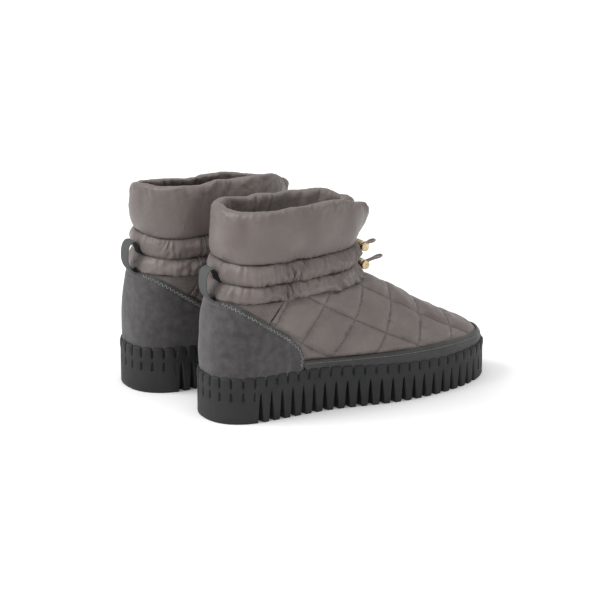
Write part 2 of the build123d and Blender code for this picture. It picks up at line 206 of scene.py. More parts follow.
def signed_power(v, power):
    """Power of the size of v, with the sign of v."""
    return np.sign(v) * np.abs(v) ** power


def run_along(points):
    """Length along a polyline at each of its points."""
    return np.concatenate([[0], np.cumsum(np.linalg.norm(np.diff(points, axis=0), axis=1))])


def grid_normals(p):
    """Unit normals of a grid of points, from the cross product of its two differences."""
    n = np.cross(np.gradient(p, axis=1), np.gradient(p, axis=0))
    return unit(n)


def ripple(p, q, size, seed, waves=14):
    """Soft irregular relief between about -1 and 1: a sum of plane waves of random direction and phase."""
    rng = np.random.default_rng(seed)
    total = 0
    for turn, phase, share in rng.random((waves, 3)):
        k, angle = 2 * np.pi / (size * (0.6 + share)), 2 * np.pi * turn
        total = total + np.sin(k * (p * np.cos(angle) + q * np.sin(angle)) + 6.3 * phase)
    return total / math.sqrt(waves)


def sole_top(y):
    """Height of the sole wall: level at the heel, sloping down to the ball, level to the toe."""
    t = np.clip((y - 60) / 160, 0, 1)
    t = (t + smooth_step(t)) / 2
    return HEEL_SOLE_TOP + (TOE_SOLE_TOP - HEEL_SOLE_TOP) * t


# Meshes from grids.

def grid_faces(rows, columns, closed_rows=False, closed_columns=False):
    """Quads of a grid, rows going up and columns going round anticlockwise, so that they face outwards."""
    i = np.arange(rows if closed_rows else rows - 1)[:, None]
    j = np.arange(columns if closed_columns else columns - 1)[None, :]
    i2, j2 = (i + 1) % rows, (j + 1) % columns
    quads = [i * columns + j, i * columns + j2, i2 * columns + j2, i2 * columns + j]
    return np.stack([q.ravel() for q in quads], axis=1)


def closed_skin(points, closed_rows=False, closed_columns=False, inward=False):
    """A grid of points as (vertices, faces)."""
    faces = grid_faces(points.shape[0], points.shape[1], closed_rows, closed_columns)
    return points.reshape(-1, 3), faces[:, ::-1] if inward else faces


def join(parts):
    """Several (vertices, faces) as one."""
    starts = np.cumsum([0] + [len(v) for v, _ in parts[:-1]])
    faces = [f + start for (_, f), start in zip(parts, starts)]
    return np.concatenate([v for v, _ in parts]), np.concatenate(faces)


SHELL_WALL, TWILL_WALL, SUEDE_WALL, LINING_WALL = 1.0, 0.8, 0.9, 0.8


def add_piece(name, shape, materials, replaced=(), seam=None, thickness=0.0, merge=True, paint=None,
              sides=tuple(SIDES)):
    """Makes a piece for the right boot and its mirror image for the left one, each riding on its own boot.
    seam is a value for each vertex, high in the seams, where the material paints shade; paint is the number
    of each face's material."""
    made = []
    vertices, faces = shape
    for side in sides:
        order = faces if SIDES[side] > 0 else faces[:, ::-1]
        mesh = bpy.data.meshes.new(f"{side}_{name}")
        mesh.vertices.add(len(vertices))
        mesh.vertices.foreach_set("co", placed(vertices, side).ravel())
        mesh.loops.add(order.size)
        mesh.loops.foreach_set("vertex_index", order.ravel().astype(np.int32))
        mesh.polygons.add(len(order))
        mesh.polygons.foreach_set("loop_start", np.arange(0, order.size, order.shape[1], dtype=np.int32))
        mesh.update(calc_edges=True)
        # The seam values go to the materials as painted shade.
        if seam is not None:
            layer = mesh.attributes.new("seam", "FLOAT", "POINT")
            layer.data.foreach_set("value", np.asarray(seam, np.float32).ravel())
        for one in materials:
            mesh.materials.append(one)
        if paint is not None:
            mesh.polygons.foreach_set("material_index", np.asarray(paint, np.int32))
        mesh.shade_smooth()
        mesh.validate()
        piece = new_object(f"{side}_{name}", mesh)
        if merge:
            weld = piece.modifiers.new("weld", "WELD")
            weld.merge_threshold = 1e-6
        if thickness:
            wall = piece.modifiers.new("wall", "SOLIDIFY")
            wall.thickness, wall.offset = thickness * MM, -1.0
        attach(piece, f"{side}_boot")
        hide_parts(*[f"{side}_{node}" for node in replaced])
        made.append(piece)
    return made


# Shapes of the pieces.

RIB_PITCH, SLOT_HALF, SLIT_HALF = 10.5, 2.3, 0.7
BUMPER_BACK, BUMPER_TOE = 35.0, 262.0
CLEFT = 0.12       # least half width of a cut


def outsole_shape():
    """Cup sole: a wall carried round the outline by two parameters, rib column and height share. Columns
    lean with the V-shaped slots and the short slits, so that their edges stay sharp; the depth is cut inwards
    there. The top edge is scalloped between the slits and rounds over onto a lip; the bottom closes on the
    boot's middle line."""
    dense = np.linspace(0, 1, 6001)
    x, y = skin(dense, 0.0, 0, SOLE_LEVEL)
    run = run_along(np.stack([x, y], -1))
    ribs = round(run[-1] / RIB_PITCH)
    pitch = run[-1] / ribs
    rows = np.array([0, 0.012, 0.04, 0.12, 0.24, 0.262, 0.36, 0.47, 0.5, 0.55, 0.6, 0.63, 0.66, 0.70, 0.735,
                     0.755, 0.775, 0.80, 0.84, 0.88, 0.92, 0.955, 0.98, 1.0])[:, None]
    middle = ((np.arange(ribs) + 0.5) * pitch)[None, :]
    where = np.interp(middle, run, y)
    heel, toe = where < BUMPER_BACK, where > BUMPER_TOE
    slot = SLOT_HALF * np.clip(1 - rows / 0.645, 0, 1) ** 0.85 + CLEFT
    notch = 1.2 * np.clip((0.70 - rows) / 0.2, 0, 1) ** 0.6 * (rows > 0.49)
    half_slot = np.where(heel, CLEFT, np.where(toe, np.where(rows > 0.25, slot, CLEFT), slot))
    half_slit = CLEFT + SLIT_HALF * smooth_step((rows - 0.745) / 0.06) + np.where(heel, notch, 0.0)
    far, gap = pitch / 2 - half_slit, 0.45
    plain = [(half_slot + gap) * (1 - t) + (far - gap) * t for t in (0.33, 0.67)]
    right = [0.6 * half_slot, half_slot, half_slot + gap, *plain, far - gap, far, far + 0.5 * half_slit]
    across = np.stack([-o for o in right[::-1]] + [0 * half_slot] + right + [0 * half_slot + pitch / 2], -1)
    slot_cut = [0.97, 0.35, 0, 0, 0, 0, 0, 0]
    slit_cut = [0, 0, 0, 0, 0, 0, 0.35, 0.9]
    slots = np.array(slot_cut[::-1] + [1.0] + slot_cut + [0])
    slits = np.array(slit_cut[::-1] + [0.0] + slit_cut + [1.0])
    cut = ~heel & (rows < 0.64) & ~(toe & (rows <= 0.25))
    depth = np.where(toe, 2.4, 7.0) * np.clip((0.645 - rows) / 0.12, 0.25, 1) * cut
    slit_depth = 1.7 * smooth_step((rows - 0.745) / 0.05) + 1.8 * (heel & (rows > 0.49) & (rows < 0.70))
    round_top = np.clip((rows - 0.92) / 0.08, 0, 0.999)
    bulge = (2 * across / pitch) ** 2
    inward = depth[..., None] * slots + slit_depth[..., None] * slits
    inward = inward - 0.55 * (1 - bulge) * smooth_step((rows - 0.74) / 0.1)[..., None]
    inward = inward + 1.8 * (1 - np.sqrt(1 - round_top ** 2))[..., None]
    inward = inward + 0.9 * np.clip(1 - rows / 0.04, 0, 1)[..., None] ** 2
    distance = (middle[..., None] + across).reshape(len(rows), -1)
    height = rows[..., None] * (sole_top(where)[..., None] - 0.6 * bulge * rows[..., None] ** 6)
    height = height.reshape(distance.shape)
    u = np.interp(np.mod(distance, run[-1]), run, dense)
    wall = skin_out(u, height, -inward.reshape(distance.shape), SOLE_LEVEL)
    top = u[-1]
    lip = skin_out(top, height[-1] - 0.4, -4.2, SOLE_LEVEL)[None]
    inner = skin_out(top, height[-1] - 5.0, -4.8, SOLE_LEVEL)[None]
    sunk = skin_out(u[0], 0.0, -7.5, SOLE_LEVEL)[None]
    spine = np.stack([0 * u[0], np.clip(sunk[0, :, 1], 36, SOLE_LENGTH - 48), 0 * u[0]], -1)
    bottom = [spine[None] * (1 - t) + sunk * t for t in (0.0, 0.3, 0.6)]
    return closed_skin(np.concatenate(bottom + [sunk, wall, lip, inner]), closed_columns=True)


def ridge_height(y):
    """Height of the instep's ridge, carried on upwards past the leg as a straight line."""
    ridge = LEVELS[7:0:-1]
    top, start = ridge[0, 0], ridge[0, 2]
    return np.where(y < start, top + (start - y) * 0.62, np.interp(y, ridge[:, 2], ridge[:, 0]))


QUILT_ACROSS, QUILT_DROP, QUILT_ALONG, QUILT_PHASE = 38.0, 13.0, 34.2, 28.0
PUFF, PUFF_EDGE = 2.9, 3.6      # height of a puff and width of its rounded edge
SHELL_SINK = 1.6


def shell_start(z):
    """Length position of the quilted part's back edge, which slants forwards under the ankle seam."""
    return 44 + np.clip((z - 88) * 0.78, 0, 15)


def quilt_places(p):
    """Quilting coordinates: distance down from the ridge, a p-norm of two offsets, and distance along it."""
    x, y, z = p[..., 0], p[..., 1], p[..., 2]
    fall = np.maximum(ridge_height(y) - z, 0)
    down = (np.abs(x + 2) ** 1.5 + fall ** 1.5) ** (1 / 1.5)
    along = 0.829 * y - 0.559 * z
    return down, along


def quilt_lines(down, along):
    """Distance to the nearest quilting line of each family."""
    first = np.abs(np.mod((down - QUILT_DROP) / QUILT_ACROSS, 1) - 0.5) * QUILT_ACROSS
    second = np.abs(np.mod((along - QUILT_PHASE) / QUILT_ALONG + 0.5, 1) - 0.5) * QUILT_ALONG
    return first, second


def vamp_shape():
    """Quilted foot part: the skin between the ankle seam on both sides, round the toe, raised along its
    normals by a puff that is a product of two rounded steps away from the two families of quilting lines."""
    z = np.concatenate([np.linspace(30, 45, 14), np.linspace(45.7, SHELL_TOP, 130)])
    u = between_sides(shell_start(z), z, np.linspace(0, 1, 320))
    p = skin_out(u, z[:, None], -SHELL_SINK)
    n = grid_normals(p)
    down, along = quilt_places(p)
    first, second = quilt_lines(down, along)
    nearest = np.minimum(first, second)
    puff = PUFF * (1 - fade(first, PUFF_EDGE, 1.3)) * (1 - fade(second, PUFF_EDGE, 1.3))
    rim = smooth_step((SHELL_TOP - z) / 6)[:, None]
    rim = rim * smooth_step((p[..., 2] - rand_top(p[..., 1]) + 1.0) / 6)
    rim = rim * smooth_step((p[..., 1] - counter_edge(p[..., 2]) + 0.5) / 7)
    soft = 0.55 * ripple(down, along, 21, 3) + 0.6 * fade(nearest, 5) * ripple(down, along, 7, 4)
    top_folds = fade(np.maximum(COUNTER_TOP - 2 - z, 0), 7)[:, None]
    top_folds = 0.8 * (gathers(u * GIRTH, 71, 11.0) - 0.5) * top_folds
    p = p + n * ((puff + soft * 0.7 + top_folds) * rim)[..., None]
    # The seam values are painted shade: dark along the quilting grooves, broken into dashes along the
    # stitching, and along the top edge under the band.
    dashes = 0.55 + 0.45 * np.sign(np.sin((down + along) * 2.4))
    seam = fade(nearest, 0.75, 2) * dashes + 0.9 * fade(SHELL_TOP - z, 1.6)[:, None]
    return closed_skin(p), np.clip(seam, 0, 1)


def ankle_shape():
    """Ankle panel: the skin behind the quilted part, under the heel counter's edge."""
    z = np.linspace(58, SHELL_TOP, 80)
    reach = shell_start(z) + 2
    u = between_sides(reach, z, np.linspace(0, 1, 240), round_back=True)
    y = skin(u, z[:, None])[1]
    p = skin_out(u, z[:, None], -0.6 - 1.6 * smooth_step((y - reach[:, None] + 5) / 4))
    rim = smooth_step((SHELL_TOP - z) / 6)[:, None]
    free = smooth_step((p[..., 1] - counter_edge(p[..., 2]) + 0.5) / 3)
    p = p + grid_normals(p) * ((0.7 * rim + 0.25 * ripple(p[..., 1], p[..., 2], 15, 9)) * free)[..., None]
    # Painted shade along the top edge, under the band.
    seam = 0.9 * fade(SHELL_TOP - z, 1.4)[:, None] + 0 * u
    return closed_skin(p), seam


COUNTER_THICK, RAND_THICK = 1.5, 1.3
COUNTER_EDGE_Z = [38.0, 52.6, 61.4, 72.6, 87.0, 98.0, 104.0, 107.0]
COUNTER_EDGE_Y = [80.0, 79.8, 76.5, 65.0, 45.0, 30.0, 21.0, 13.5]


def counter_edge(z):
    """Length position of the heel counter's front edge at height z."""
    return np.interp(z, COUNTER_EDGE_Z, COUNTER_EDGE_Y)


def counter_shape():
    """Suede heel counter: the skin from its front edge on one side round the back to the other, with a
    rolled edge where the thickness falls off as an exponential of the distance to the edge."""
    z = np.linspace(38, COUNTER_TOP - 0.2, 120)
    even = np.linspace(0, 1, 260)
    f = 0.6 * (0.5 - 0.5 * np.cos(np.pi * even)) + 0.4 * even
    u = between_sides(counter_edge(z), z, f, round_back=True)
    p = skin_out(u, z[:, None], 0)
    side = np.minimum(f, 1 - f) * (u[:, -1:] - u[:, :1]) * 330
    edge = np.minimum(side, (COUNTER_TOP - z)[:, None] * 0.9)
    out = COUNTER_THICK * (1 - fade(edge, 0.7)) + 0.35 * ripple(p[..., 1] + p[..., 0], p[..., 2], 38, 5)
    groove = fade(edge - 5.0, 0.9, 2)
    p = p + grid_normals(p) * (out - 0.5 * groove)[..., None]
    # The returned values paint shade along the counter's edges, where it steps down onto the fabric.
    return closed_skin(p), np.clip(fade(edge, 0.6), 0, 1)


RAND_BACK, RAND_LEVEL = 79.0, 44.0
RAND_Y = [80.0, 113.0, 149.0, 182.0, 225.0, 258.0, 270.0, 282.0]
RAND_Z = [49.0, 47.0, 46.6, 45.8, 44.6, 42.6, 41.5, 40.8]


def rand_top(y):
    """Height of the rand's top edge at length position y."""
    return np.interp(y, RAND_Y, RAND_Z)


def rand_shape():
    """Suede rand: a strip on the skin from the sole wall up to its top edge, and from side to side round
    the toe."""
    u = round_toe(RAND_BACK, RAND_LEVEL + 1, 420)[None, :]
    y = skin(u, RAND_LEVEL)[1]
    t = np.concatenate([np.linspace(0, 0.9, 12), [0.94, 0.97, 0.99, 1.0]])[:, None]
    low = sole_top(y) - 5
    z = low + t * (rand_top(y) - low)
    p = skin_out(u, z, 0)
    edge = (rand_top(y) - low) * (1 - t)
    out = RAND_THICK * (1 - fade(edge, 0.6)) + 0.25 * ripple(320 * u, z, 14, 6)
    groove = 0.35 * fade(edge - 3.0, 0.7, 2)
    p = p + grid_normals(p) * (out - groove)[..., None]
    # The returned values paint shade along the rand's top edge, where it steps down onto the fabric.
    return closed_skin(p), np.clip(fade(edge, 0.5), 0, 1)


RINGS, SIDED = 5, 6      # of a stitch's spindle


def stitches(path, normals, along, length, radius, tilt=0.0, lift=0.25):
    """Short threads on a path: each is a spindle of RINGS rings, bowed by a parabola, and laid along the
    path or turned out of it, one way and the other."""
    side = np.cross(normals, along)
    turn = tilt * (-1.0) ** np.arange(len(path))
    axis = along * np.cos(turn)[:, None] + side * np.sin(turn)[:, None]
    other = np.cross(normals, axis)
    angle = np.arange(SIDED) * 2 * np.pi / SIDED
    t = np.array([-1.0, -0.75, 0.0, 0.75, 1.0])
    fat = np.array([0.15, 0.8, 1.0, 0.8, 0.15]) * radius
    bow = lift * (1 - t ** 2)
    c = path[:, None, None] + axis[:, None, None] * (t * length / 2)[None, :, None, None]
    c = c + normals[:, None, None] * bow[None, :, None, None]
    ring = other[:, None, None] * (np.cos(angle)[None, None, :, None] * fat[None, :, None, None])
    ring = ring + normals[:, None, None] * (np.sin(angle)[None, None, :, None] * fat[None, :, None, None])
    v = (c + ring).reshape(-1, 3)
    faces = grid_faces(RINGS, SIDED, closed_columns=True)
    every = (np.arange(len(path)) * RINGS * SIDED)[:, None, None] + faces[None]
    return v, every.reshape(-1, 4)


def even_path(points, spacing):
    """Points spaced evenly along a polyline, with the unit direction at each."""
    run = run_along(points)
    at = np.arange(spacing / 2, run[-1], spacing)
    p, ahead, behind = (np.stack([np.interp(at + step, run, points[:, k]) for k in range(3)], -1)
                        for step in (0, 0.2, -0.2))
    return p, unit(ahead - behind)


def skin_path(y, z, out, outer):
    """A line on the skin through length positions y at heights z."""
    u = u_where(y, z, outer)
    return skin_out(u, z, out)


def outward_of(path):
    """Level outward direction at points on the skin: away from the boot's middle line."""
    away = np.stack([path[:, 0], path[:, 1] - np.clip(path[:, 1], 40, 240), 0 * path[:, 0]], -1)
    return unit(away)


def stitch_shapes():
    """Whip stitches inside the counter's edge, and a fine row below the rand's edge."""
    rows = []
    z = np.linspace(44, 105.5, 160)
    for outer in (True, False):
        inset = 3.0 * np.interp(z, [44, 60, 80, 106], [1, 1.1, 1.4, 1.9])
        p, d = even_path(skin_path(counter_edge(z) - inset, z, 1.5, outer), 2.0)
        rows.append(stitches(p, outward_of(p), d, 3.0, 0.34, tilt=1.1))
    u = round_toe(RAND_BACK + 3, RAND_LEVEL + 1, 500)
    p, d = even_path(skin_out(u, rand_top(skin(u, RAND_LEVEL)[1]) - 3.0, 1.25), 2.6)
    rows.append(stitches(p, outward_of(p), d, 1.7, 0.26))
    return join(rows)


def wall_ring(u, z_low, z_high, out, inner, rows_out, rows_in=4):
    """Closed band: out(t) bulges outwards from the lower to the upper seam; the wall comes down inside."""
    t = np.linspace(0, 1, rows_out)[:, None]
    outer = skin_out(u, z_low + t * (z_high - z_low), out(t))
    s = np.linspace(0.96, 0.04, rows_in)[:, None]
    inside = skin_out(u, z_low + s * (z_high - z_low), -inner)
    return np.concatenate([outer, inside])


def gathers(run, seed, size=8.0):
    """Gathered folds along a seam: rounded crests with sharp valleys, of uneven width and height."""
    bend = 3.0 * ripple(run, 0 * run, 26, seed)
    wave = np.abs(np.sin(np.pi * (run + bend) / size + 0.8 * ripple(run, 0 * run, 15, seed + 1)))
    return wave ** 0.8 * np.clip(0.75 + 0.35 * ripple(run, 0 * run, 40, seed + 2), 0.15, 1.3)


BAND_ROWS, BAND_PUFF, BAND_WALL, GATHER = 30, 4.2, 5.0, 3.2


def channel_shape(low, high, cord_height, seed):
    """Padded cord channel: a band that bulges as a power of a sine between its seams, with gathers that are
    deepest at the seams and a window at the front where the cord comes out."""
    u = around(620)
    run = u * GIRTH
    calm = 0.35 + 0.65 * smooth_step((np.minimum(u, 1 - u) - 0.04) / 0.10)
    bottom, top = gathers(run, seed, 6.5), gathers(run, seed + 5, 6.5)
    slope = ripple(run, 0 * run, 30, seed + 9)
    sway = 0.5 * ripple(run, 0 * run, 22, seed + 8)

    def out(t):
        body = BAND_PUFF * np.sin(np.pi * np.clip(t, 0, 1)) ** 0.6 - 1.9
        folds = (bottom - 0.6) * fade(t, 0.38) + (top - 0.6) * fade(1 - t, 0.38)
        folds = GATHER * calm * folds
        cross = 1.5 * calm * ripple(run + 9 * t * slope, 14 * t, 11, seed + 11)
        x, _ = skin(u, cord_height)
        z = low + t * (high - low)
        window = smooth_step((8.5 - np.abs(x)) / 3) * smooth_step((4.0 - np.abs(z - cord_height)) / 2)
        window = window * (np.abs(u - 0.5) < 0.2)
        lump = np.clip(np.sin(np.pi * t), 0, 1) ** 0.5
        return body + folds * lump ** 0.4 + cross * lump - window * (body + BAND_WALL)

    points = wall_ring(u, low + sway - 0.5, high + sway * 0.6 + 0.7, out, BAND_WALL, BAND_ROWS)
    # Painted shade along both seams, in the gathers.
    seam = np.zeros(points.shape[:2])
    t = np.linspace(0, 1, BAND_ROWS)
    seam[:BAND_ROWS] = (fade(t, 0.06) + fade(1 - t, 0.06))[:, None]
    return closed_skin(points, closed_rows=True, closed_columns=True), np.clip(seam, 0, 1)


CUFF_WALL, CUFF_GIRTH, FLAP_ROUND = 10.0, 360.0, 15.0
# How each cuff slumps: how far its rim hangs on the outer and the inner side, and leans in on the outer side
# and back.
SLUMP = {"right": (-1.5, 4.5, 0.0, 0.0), "left": (8.0, -2.0, 14.0, 4.0)}


def cuff_shape(side):
    """Split padded cuff: a crowned wall carried round the leg from one flap edge to the other. Its section
    is a superellipse of height against thickness; both thin out to nothing at the flap edges, the flap
    corners are rounded, and the fabric is dented by soft ripples, gathered at the seam and puckered at the
    rim. The rim hangs and leans by shares that follow the sine of the way round."""
    outer_hang, inner_hang, outer_lean, back_lean = SLUMP[side]
    heights = np.linspace(CUFF_SEAM - 2, RIM + 2, 60)
    gap = np.interp(heights, [CUFF_SEAM, RIM], [3.0, 12.5])
    first, last = u_across(-gap, heights), u_across(gap, heights)
    line = np.linspace(0, 1, 520)
    f = (line - 0.055 * np.sin(2 * np.pi * line))[None, :]
    run = f * CUFF_GIRTH
    edge = np.minimum(run, CUFF_GIRTH - run)
    angle = (np.arange(64) / 64 * 2 * np.pi - np.pi / 2)[:, None]
    across, up = signed_power(np.cos(angle), 0.72), signed_power(np.sin(angle), 0.34)
    thin = np.sqrt(1 - (1 - np.clip(edge / 5.5, 0, 1)) ** 2)
    short = np.clip(FLAP_ROUND - edge, 0, None)
    corner = FLAP_ROUND - np.sqrt(np.clip(FLAP_ROUND ** 2 - short ** 2, 0, None))
    lean = 10.5 * smooth_step((60 - edge) / 60)
    round_way = np.sin(2 * np.pi * (0.52 + 0.96 * f))
    hang = outer_hang * np.clip(round_way, 0, 1) + inner_hang * np.clip(-round_way, 0, 1)
    top = RIM - 1.0 - corner * 0.95 - lean - hang + 0.7 * ripple(run, 0 * run, 34, 21)
    foot = CUFF_SEAM - 0.4 + 1.3 * smooth_step((5 - edge) / 5)
    z = (top + foot) / 2 + up * (top - foot) / 2
    t = (z - foot) / (top - foot)
    share = np.clip(t, 0, 1)
    u = np.interp(z, heights, first) + f * (1 + np.interp(z, heights, last) - np.interp(z, heights, first))
    seam_folds = (gathers(run, 31, 9.0) - 0.6) * fade(share, 0.10)
    from_back = np.minimum(np.mod(u, 1), 1 - np.mod(u, 1))
    seam_folds = seam_folds * (0.25 + 0.75 * smooth_step((from_back - 0.08) / 0.1))
    rim_folds = 1.1 * ripple(run, 26 * t, 9, 35) * fade(np.clip(1 - t, 0, 1), 0.12)
    dents = 1.3 * ripple(run, 46 * t, 44, 37) + 0.9 * ripple(run + 20 * t, 46 * t, 17, 38) * t ** 2
    inside = across < 0
    creases = np.where(inside, 4.0, 0.0) * (gathers(run + 4 * t, 41, 24.0) - 0.5) * smooth_step(t / 0.3)
    half = CUFF_WALL / 2 * thin
    bulge = (1.3 + 3.8 * fade(edge, 45, 2)) * np.sin(np.pi * share)
    relief = np.where(inside, dents * 0.3 - creases * 0.6, (dents + seam_folds * 1.6 + bulge) * 0.9)
    relief = relief + rim_folds * np.where(inside, 0.6, 0.9)
    out = -CUFF_WALL / 2 + across * half + relief * thin * np.abs(across) ** 0.5
    # Painted shade along the seam at the cuff's foot.
    seam = fade(share, 0.02)
    points = skin_out(u, z, out)
    points[..., 0] -= outer_lean * np.clip(round_way, 0, 1) * share ** 1.5
    points[..., 1] -= back_lean * share
    return closed_skin(points, closed_rows=True), np.clip(seam, 0, 1)


TAB_ROUTE = np.array([(10.6, 105.6), (6.6, 107.4), (3.0, 111.0), (0.9, 116.5), (0.6, 123.0), (1.4, 129.0),
                      (3.8, 133.2), (7.6, 134.2), (11.0, 131.0), (13.2, 126.4), (14.6, 122.4)])
TAB_WIDTH, TAB_THICKNESS = 14.0, 1.5


def tab_shape():
    """Pull tab: a rounded strap section carried along its loop in the boot's middle plane. The first half of
    the section is the strap's outer face, the rest its inner one."""
    run = run_along(TAB_ROUTE)
    rings, section = 90, 28
    at = np.linspace(0, run[-1], rings)
    steps = np.interp(at, run, np.arange(len(run)))
    table = np.column_stack([np.arange(len(run)), TAB_ROUTE])
    line = level_at(steps, table)[:, 1:]
    d = unit(np.gradient(line, axis=0))
    angle = (np.arange(section) / section * 2 * np.pi)[None, :]
    wide = signed_power(np.cos(angle), 0.3) * TAB_WIDTH / 2
    thick = signed_power(np.sin(angle), 0.7) * TAB_THICKNESS / 2
    thick = thick * np.where(np.abs(wide) > TAB_WIDTH / 2 - 1.2, 0.8, 1.0)
    out = np.stack([-d[:, 1], d[:, 0]], -1)
    y, z = (line[:, k:k + 1] + out[:, k:k + 1] * thick for k in (0, 1))
    inner = np.tile((np.arange(section) >= section / 2).astype(int), rings - 1)
    return closed_skin(np.stack([wide + 0 * y, y, z], -1), closed_columns=True), inner


LOCK_RISE, CORD_WIDTH = 12.0, 2.0
# Free loops of the drawcords: turn forwards, end of the straight part, tip, and the cord's length in metres.
LOOPS = {"upper": (150.2, 15.6, 22.0, 0.0571), "lower": (150.6, 20.6, 29.0, 0.0708)}


def loop_route(height, turn, straight, tip):
    """Route of a free drawcord loop: out of the window, side by side through the lock, round its tip."""
    rise, forward = math.sin(math.radians(LOCK_RISE)), math.cos(math.radians(LOCK_RISE))
    near = 1.1
    ahead = [(near, straight), (3.0, (straight + tip) / 2), (1.6, tip)]
    half = [(6.5, turn - 1.3, height), (near, turn, height)]
    half += [(near, turn + 4.0 * forward, height + 4.0 * rise)]
    half += [(x, turn + s * forward, height + s * rise) for x, s in ahead]
    return half + [(-x, y, z) for x, y, z in half[::-1]]


def lining_shape():
    """Lining: the skin's inner face, seen from inside the shaft, with soft vertical folds."""
    z = np.linspace(29, CUFF_SEAM + 2, 80)[:, None]
    u = around(240)
    out = -7.0 + 0.5 * ripple(u * GIRTH, z, 26, 51)
    return closed_skin(skin_out(u, z, out), closed_columns=True, inward=True)


def filled_outline(levels):
    """Closed body from the skin's outline at 30 mm: for each (height, inset, reach to the middle line) a
    ring, from the middle of the bottom to the middle of the top."""
    u = around(260)[0]
    rings = []
    for z, inset, toward in levels:
        ring = skin_out(u, 30.0, -inset)
        ring[:, 2] = z
        spine = np.stack([0 * u - 1.0, np.clip(ring[:, 1], 42, SOLE_LENGTH - 50), ring[:, 2]], -1)
        rings.append(ring * (1 - toward) + spine * toward)
    return closed_skin(np.stack(rings), closed_columns=True)


# Rings of the footbed: height, inset and reach to the middle line.
FOOTBED = [(26.4, 8.2, 1.0), (26.4, 8.2, 0.5), (26.4, 8.2, 0.0), (29.2, 8.0, 0.0), (30.0, 8.6, 0.0),
           (30.2, 9.6, 0.0), (30.2, 10.0, 0.35), (30.2, 10.0, 0.7), (30.2, 10.0, 1.0)]


# Materials.

def colour(hex_value):
    """sRGB hex to linear red, green, blue and alpha."""
    parts = [int(hex_value[k:k + 2], 16) / 255 for k in (1, 3, 5)]
    return [c / 12.92 if c <= 0.04045 else ((c + 0.055) / 1.055) ** 2.4 for c in parts] + [1.0]


def add_node(tree, kind, inputs=None, **settings):
    """Adds a node, sets its properties, and sets or links its inputs by name or number."""
    node = tree.nodes.new(kind)
    for key, value in settings.items():
        setattr(node, key, value)
    for key, value in (inputs or {}).items():
        if isinstance(value, bpy.types.NodeSocket):
            tree.links.new(value, node.inputs[key])
        else:
            node.inputs[key].default_value = value
    return node


def new_material(name, **constants):
    """A material with one principled shader, its constant sockets set, and object coordinates."""
    material = bpy.data.materials.new(name)
    material.use_nodes = True
    tree = material.node_tree
    shader = tree.nodes["Principled BSDF"]
    for key, value in constants.items():
        shader.inputs[key.replace("_", " ")].default_value = value
    place = add_node(tree, "ShaderNodeTexCoord").outputs["Object"]
    return material, tree, shader, place


def grains(tree, place, size_mm, detail=2.0, distortion=0.0):
    """Noise with grains about size_mm across."""
    inputs = {"Vector": place, "Scale": 1 / MM / size_mm, "Detail": detail, "Distortion": distortion}
    return add_node(tree, "ShaderNodeTexNoise", inputs).outputs["Fac"]


def mottle(tree, place, size_mm, dark, light, detail=3.0):
    """Colour that wanders between two shades in patches of about size_mm."""
    noise = grains(tree, place, size_mm, detail)
    spread = add_node(tree, "ShaderNodeMapRange", {"Value": noise, "From Min": 0.3, "From Max": 0.7})
    return colour_mix(tree, spread.outputs[0], colour(dark), colour(light))


def waves(tree, place, period_mm, direction, distortion):
    """Stripes with crests period_mm apart: the texture's sine turns once in a tenth of pi over its scale."""
    inputs = {"Vector": place, "Scale": math.pi / 10 / MM / period_mm, "Distortion": distortion}
    return add_node(tree, "ShaderNodeTexWave", inputs, bands_direction=direction).outputs["Fac"]


def colour_mix(tree, factor, first, second):
    """Mix of two colours, each a value or a socket."""
    node = tree.nodes.new("ShaderNodeMix")
    node.data_type = "RGBA"
    for socket, value in zip((node.inputs[0], node.inputs[6], node.inputs[7]), (factor, first, second)):
        if isinstance(value, bpy.types.NodeSocket):
            tree.links.new(value, socket)
        else:
            socket.default_value = value
    return node.outputs[2]


def dress(tree, shader, base, *layers):
    """Gives the shader its base colour, and a chain of bump nodes, one for each (height socket, strength,
    depth in millimetres)."""
    tree.links.new(base, shader.inputs["Base Color"])
    normal = None
    for height, strength, depth in layers:
        inputs = {"Height": height, "Strength": strength, "Distance": depth * MM}
        if normal is not None:
            inputs["Normal"] = normal
        normal = add_node(tree, "ShaderNodeBump", inputs).outputs[0]
    if normal is not None:
        tree.links.new(normal, shader.inputs["Normal"])


def shade_painted_at_seams(tree, base, dark):
    """Painted shade: base colour that gives way to the dark one where the piece's own seam attribute is high,
    in its seams, grooves and edges.
    """
    seam = add_node(tree, "ShaderNodeAttribute", attribute_name="seam").outputs["Fac"]
    return colour_mix(tree, seam, base, colour(dark))


def satin_nylon(looks):
    """Down-proof nylon taffeta, calendered: a satin glow, a faint weave and fine crinkles."""
    material, tree, shader, place = new_material("satin_nylon", Roughness=0.46, Specular_IOR_Level=0.5,
                                                 Sheen_Weight=0.06, Sheen_Roughness=0.4)
    base = mottle(tree, place, 30, looks.nylon_dark, looks.nylon_light)
    crinkle = grains(tree, place, 9, 4.0, distortion=0.8)
    # The threads are 0.2 mm apart; the weave is drawn at 0.9 mm so that it shows.
    weave = waves(tree, place, 0.9, "DIAGONAL", 1.2)
    # Painted shade: the seam attribute darkens the nylon along its quilting grooves and seams.
    dress(tree, shader, shade_painted_at_seams(tree, base, looks.nylon_painted_shade), (crinkle, 0.6, 1.6), (weave, 0.1, 0.08))
    return material


def ribbed_twill(looks):
    """Fine ribbed twill of the ankle panel: diagonal ribs 1.3 mm apart, drawn at their real size."""
    material, tree, shader, place = new_material("ribbed_twill", Roughness=0.7, Sheen_Weight=0.2)
    base = mottle(tree, place, 12, looks.nylon_dark, looks.nylon_light)
    ribs = waves(tree, place, 1.3, "DIAGONAL", 5.0)
    # Painted shade: the rib valleys are mixed towards the nylon's dark seam colour, and the seam attribute
    # darkens the top edge.
    shade = colour_mix(tree, ribs, colour(looks.nylon_painted_shade), base)
    ribbed = colour_mix(tree, 0.4, base, shade)
    dress(tree, shader, shade_painted_at_seams(tree, ribbed, looks.nylon_painted_shade), (ribs, 0.5, 0.3))
    return material


